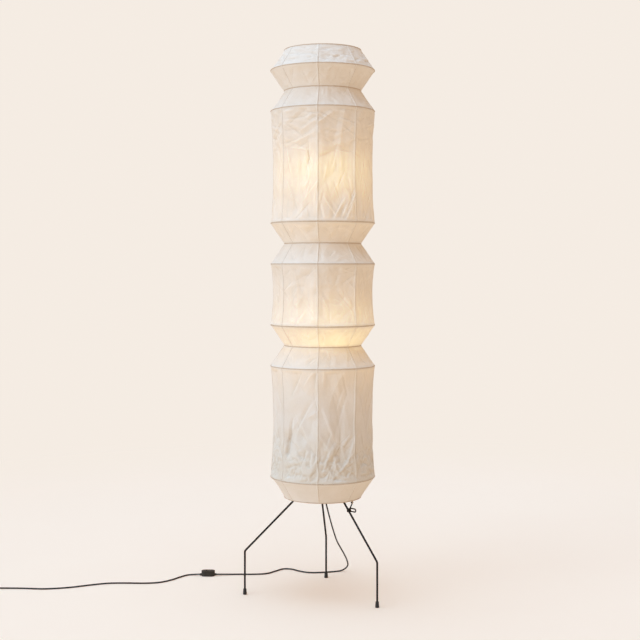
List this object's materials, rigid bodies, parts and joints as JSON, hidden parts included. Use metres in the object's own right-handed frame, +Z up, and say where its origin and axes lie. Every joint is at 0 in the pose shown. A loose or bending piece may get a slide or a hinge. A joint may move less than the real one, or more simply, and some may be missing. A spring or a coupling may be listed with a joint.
{
  "type": "floor lamp",
  "caption": "Tall folding paper lantern lamp on a slim pole with bent rod legs, a switch on its lead and a hook that holds the shade to one leg",
  "frame": {"origin": "on the floor straight under the pole, on the axis of the lantern", "axes": "+Z up along the pole, -Y towards the front with the pictured seam, +X to the right in the picture"},
  "size_m": [1.5141, 0.5251, 1.9443],
  "materials": {
    "black_steel": "satin black paint",
    "rubber": "matt",
    "steel": "zinc plated",
    "brass": "bright",
    "black_plastic": "satin",
    "white_insulator": "matt",
    "bulb_glass": "frosted, warm",
    "bulb_cap": "bright",
    "black_lead": "satin sheath",
    "hoop_wire": "wire wrapped in paper",
    "paper": "stiff translucent paper"
  },
  "bodies": {
    "stand": {"leg_left": "black_steel", "leg_back": "black_steel", "leg_right": "black_steel", "foot_left": "rubber", "foot_back": "rubber", "foot_right": "rubber", "leg_hub": "black_steel", "hub_screws": "steel", "lower_pole": "black_steel", "pole_coupling": "steel", "upper_pole": "black_steel", "pole_cap": "steel", "lower_bulb_bracket": "steel", "upper_bulb_bracket": "steel", "bracket_screws": "steel", "holder_nipples": "brass", "lower_lampholder_shell": "black_plastic", "upper_lampholder_shell": "black_plastic", "lower_lampholder_core": "white_insulator", "upper_lampholder_core": "white_insulator", "lampholder_contacts": "brass", "inner_lead": "black_lead", "cord_gland": "black_plastic", "mains_cord": "black_lead", "plug_cord": "black_lead", "cord_coil": "black_lead", "coil_tie": "black_plastic", "plug_lead": "black_lead", "plug_body": "black_plastic", "plug_pins": "bulb_cap", "switch_base": "black_plastic", "switch_cover": "black_plastic", "switch_screws": "steel", "switch_contacts": "brass"},
    "rocker": {"switch_rocker": "black_plastic"},
    "lower_bulb": {"lower_bulb_glass": "bulb_glass", "lower_bulb_cap": "bulb_cap"},
    "upper_bulb": {"upper_bulb_glass": "bulb_glass", "upper_bulb_cap": "bulb_cap"},
    "shade_top": {"top_crossbar": "hoop_wire", "top_hoops": "hoop_wire", "top_rim_paper": "paper", "top_under_paper": "paper", "top_shoulder_paper": "paper", "upper_band_paper": "paper"},
    "upper_waist": {"upper_waist_hoops": "hoop_wire", "upper_waist_under_paper": "paper", "upper_waist_shoulder_paper": "paper", "middle_band_paper": "paper"},
    "lower_waist": {"lower_waist_hoops": "hoop_wire", "lower_waist_under_paper": "paper", "lower_waist_shoulder_paper": "paper", "lower_band_paper": "paper"},
    "shade_base": {"base_hoops": "hoop_wire", "base_under_paper": "paper", "hook_lug": "hoop_wire"},
    "hook": {"shade_hook": "black_steel"}
  },
  "joints": [
    {"name": "shade_lift", "type": "slide", "parent": "stand", "child": "shade_top", "axis": [0, 0, 1], "range_m": [0, 0.03]},
    {"name": "upper_fold", "type": "slide", "parent": "shade_top", "child": "upper_waist", "axis": [0, 0, 1], "range_m": [0, 0.37], "deforming": ["upper_band_paper"]},
    {"name": "middle_fold", "type": "slide", "parent": "upper_waist", "child": "lower_waist", "axis": [0, 0, 1], "range_m": [0, 0.19], "deforming": ["middle_band_paper"]},
    {"name": "lower_fold", "type": "slide", "parent": "lower_waist", "child": "shade_base", "axis": [0, 0, 1], "range_m": [0, 0.365], "deforming": ["lower_band_paper"]},
    {"name": "hook_swing", "type": "hinge", "parent": "shade_base", "child": "hook", "pos_m": [0.10238, -0.08952, 0.3404], "axis": [-0.7373, -0.6756, 0], "range_deg": [0, 70]},
    {"name": "lower_bulb_out", "type": "slide", "parent": "stand", "child": "lower_bulb", "axis": [0, 0, 1], "range_m": [0, 0.026]},
    {"name": "upper_bulb_out", "type": "slide", "parent": "stand", "child": "upper_bulb", "axis": [0, 0, 1], "range_m": [0, 0.026]},
    {"name": "rocker_press", "type": "hinge", "parent": "stand", "child": "rocker", "pos_m": [-0.43, 0.242, 0.013], "axis": [0, -1, 0], "range_deg": [0, 16]}
  ]
}
